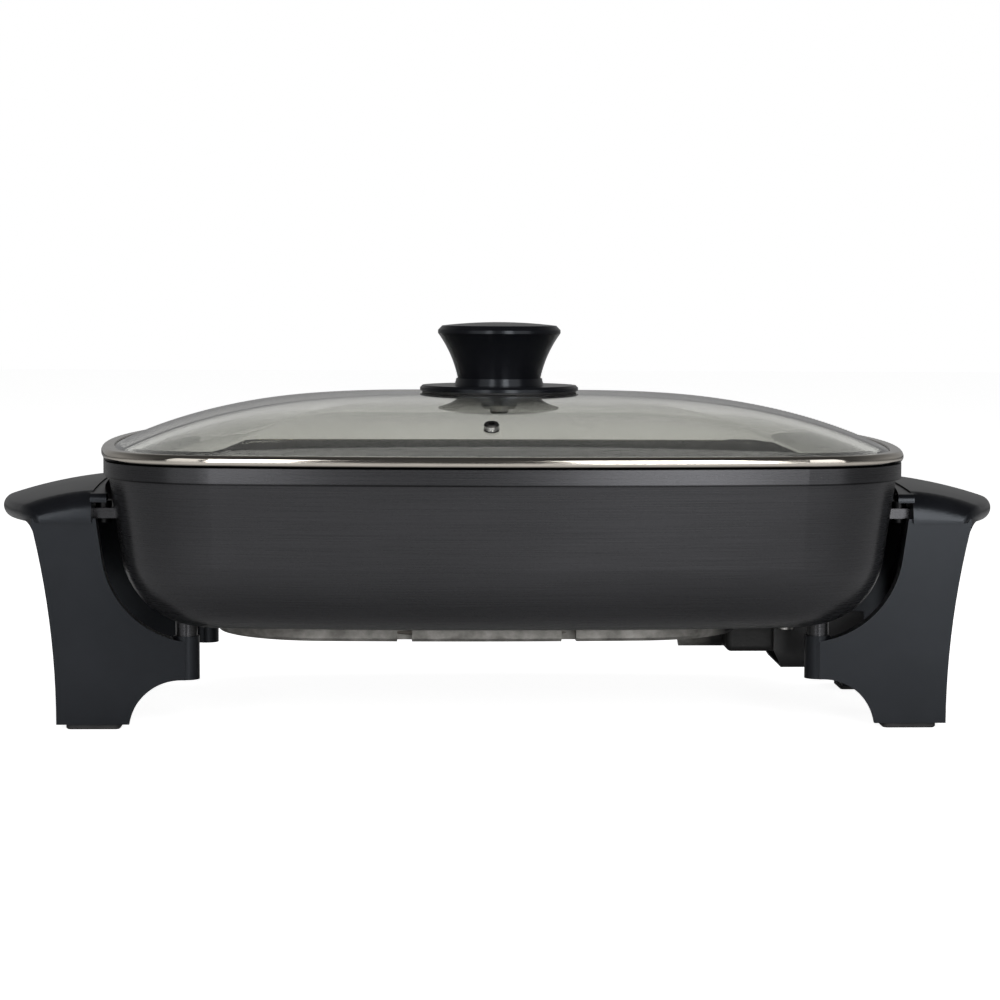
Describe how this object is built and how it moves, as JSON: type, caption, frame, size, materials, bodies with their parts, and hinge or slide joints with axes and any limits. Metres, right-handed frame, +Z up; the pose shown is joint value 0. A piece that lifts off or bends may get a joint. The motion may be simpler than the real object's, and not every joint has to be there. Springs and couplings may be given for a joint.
{
  "type": "electric skillet",
  "caption": "Rectangular electric skillet: deep dark cast pan on two handle-and-leg mouldings, domed glass lid with a knob, and a socket for a plug-in heat control.",
  "frame": {"origin": "on the table under the middle of the pan, at the middle of the feet's lowest plane", "axes": "+X along the long side, towards the end with the socket; -Y towards the front, the side nearest the camera in the picture; +Z up"},
  "size_m": [0.512, 0.306, 0.2014],
  "materials": {
    "pan_cast": "charcoal metallic coating over cast aluminium, fine horizontal brushing",
    "heater_cast": "bare cast aluminium, satin",
    "element_sheath": "dull steel sheath",
    "pin_metal": "plated",
    "insulator": "unglazed ceramic",
    "sleeve_metal": "satin",
    "shroud_steel": "black enamel on bent sheet",
    "handle_moulding": "heat resistant moulding, satin gloss",
    "foot_rubber": "matt",
    "screw_steel": "zinc plated",
    "lid_rim_steel": "polished stainless band",
    "lid_glass": "clear tempered glass",
    "knob_moulding": "black, satin gloss",
    "knob_seal": "silicone",
    "insert_brass": "bare"
  },
  "bodies": {
    "base": {"pan": "pan_cast", "heater_base": "heater_cast", "heating_element": "element_sheath", "terminal_pin_front": "pin_metal", "terminal_pin_back": "pin_metal", "pin_insulator_front": "insulator", "pin_insulator_back": "insulator", "sensor_sleeve": "sleeve_metal", "socket_shroud": "shroud_steel", "shroud_screws": "screw_steel", "left_handle": "handle_moulding", "right_handle": "handle_moulding", "left_leg_screws": "screw_steel", "right_leg_screws": "screw_steel", "left_handle_screws": "screw_steel", "right_handle_screws": "screw_steel", "left_handle_spacers": "insulator", "right_handle_spacers": "insulator", "foot_front_left": "foot_rubber", "foot_back_left": "foot_rubber", "foot_front_right": "foot_rubber", "foot_back_right": "foot_rubber"},
    "lid": {"lid_rim": "lid_rim_steel", "lid_glass": "lid_glass", "vent_eyelet": "lid_rim_steel", "knob_base": "knob_moulding", "knob_grip": "knob_moulding", "knob_insert": "insert_brass", "knob_gasket_upper": "knob_seal", "knob_gasket_lower": "knob_seal", "knob_washer": "lid_rim_steel", "knob_screw": "screw_steel"}
  },
  "joints": [
    {"name": "lid_lift", "type": "slide", "parent": "base", "child": "lid", "axis": [0, 0, 1], "range_m": [0, 0.28]}
  ]
}
